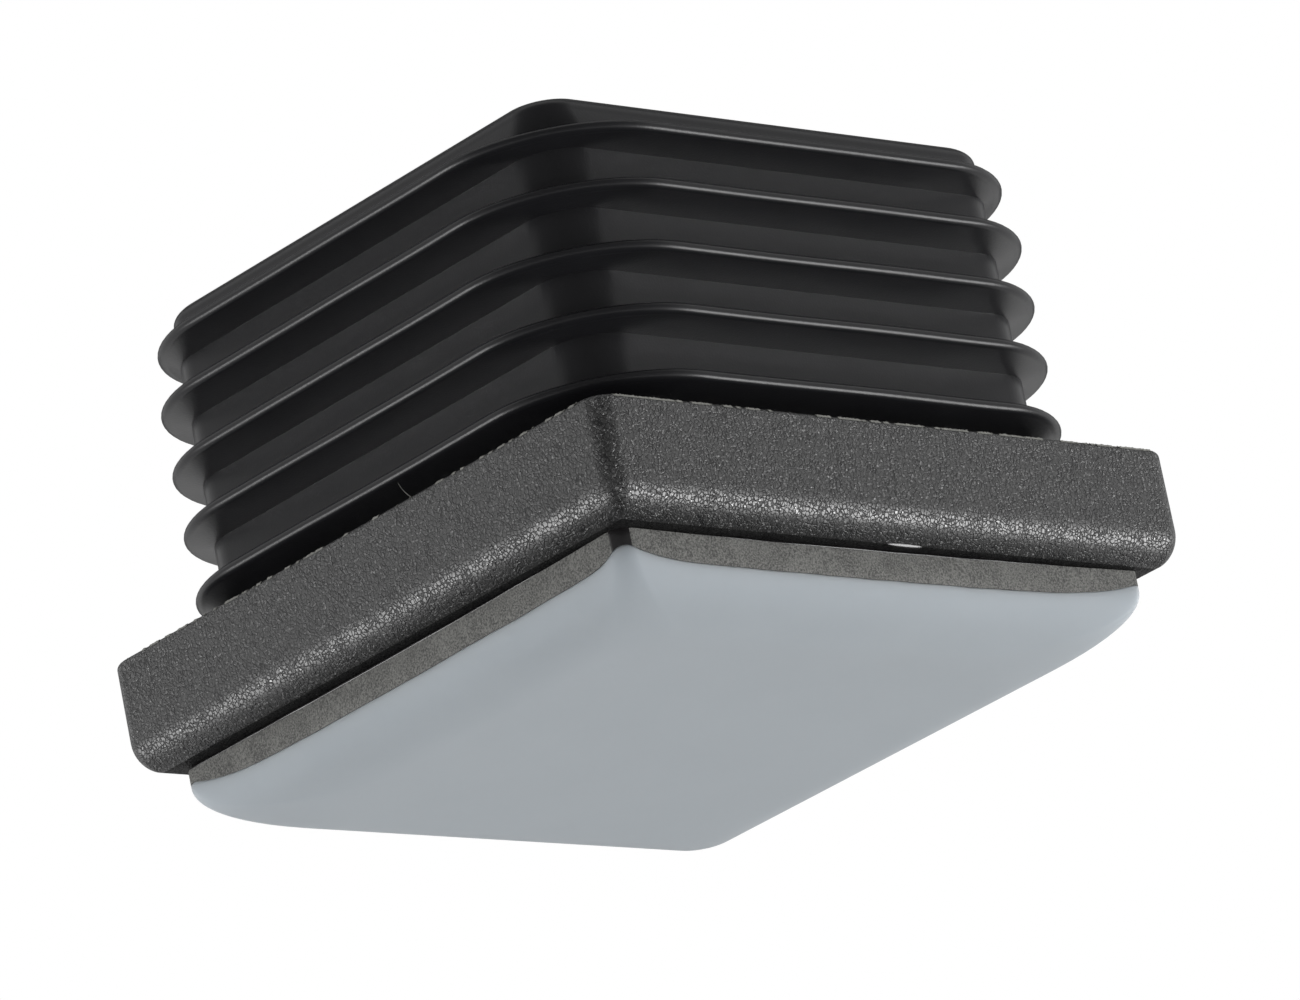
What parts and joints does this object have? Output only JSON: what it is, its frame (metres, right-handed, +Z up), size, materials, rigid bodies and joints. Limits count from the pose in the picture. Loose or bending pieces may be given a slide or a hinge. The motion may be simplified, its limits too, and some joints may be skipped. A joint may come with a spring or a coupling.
{
  "type": "square tube glide",
  "caption": "Ribbed black plug for the end of a square tube, with a square flange and a rubber-backed PTFE sliding pad under it.",
  "frame": {"origin": "middle of the sole's flat underside, where the glide meets the floor", "axes": "+Z up along the plug into the tube; +X and +Y square to the flange's sides"},
  "size_m": [0.04, 0.04, 0.0288],
  "materials": {
    "black_polyethylene": "moulded, smooth satin on the ribs and core, spark-eroded grain on the flange",
    "adhesive": "smooth, slightly glossy edge",
    "grey_rubber": "fine-grained cut edge",
    "ptfe": "smooth and waxy, soft sheen"
  },
  "bodies": {
    "root": {"ribbed_plug": "black_polyethylene", "adhesive_film": "adhesive", "rubber_core": "grey_rubber", "ptfe_sole": "ptfe"}
  },
  "joints": []
}
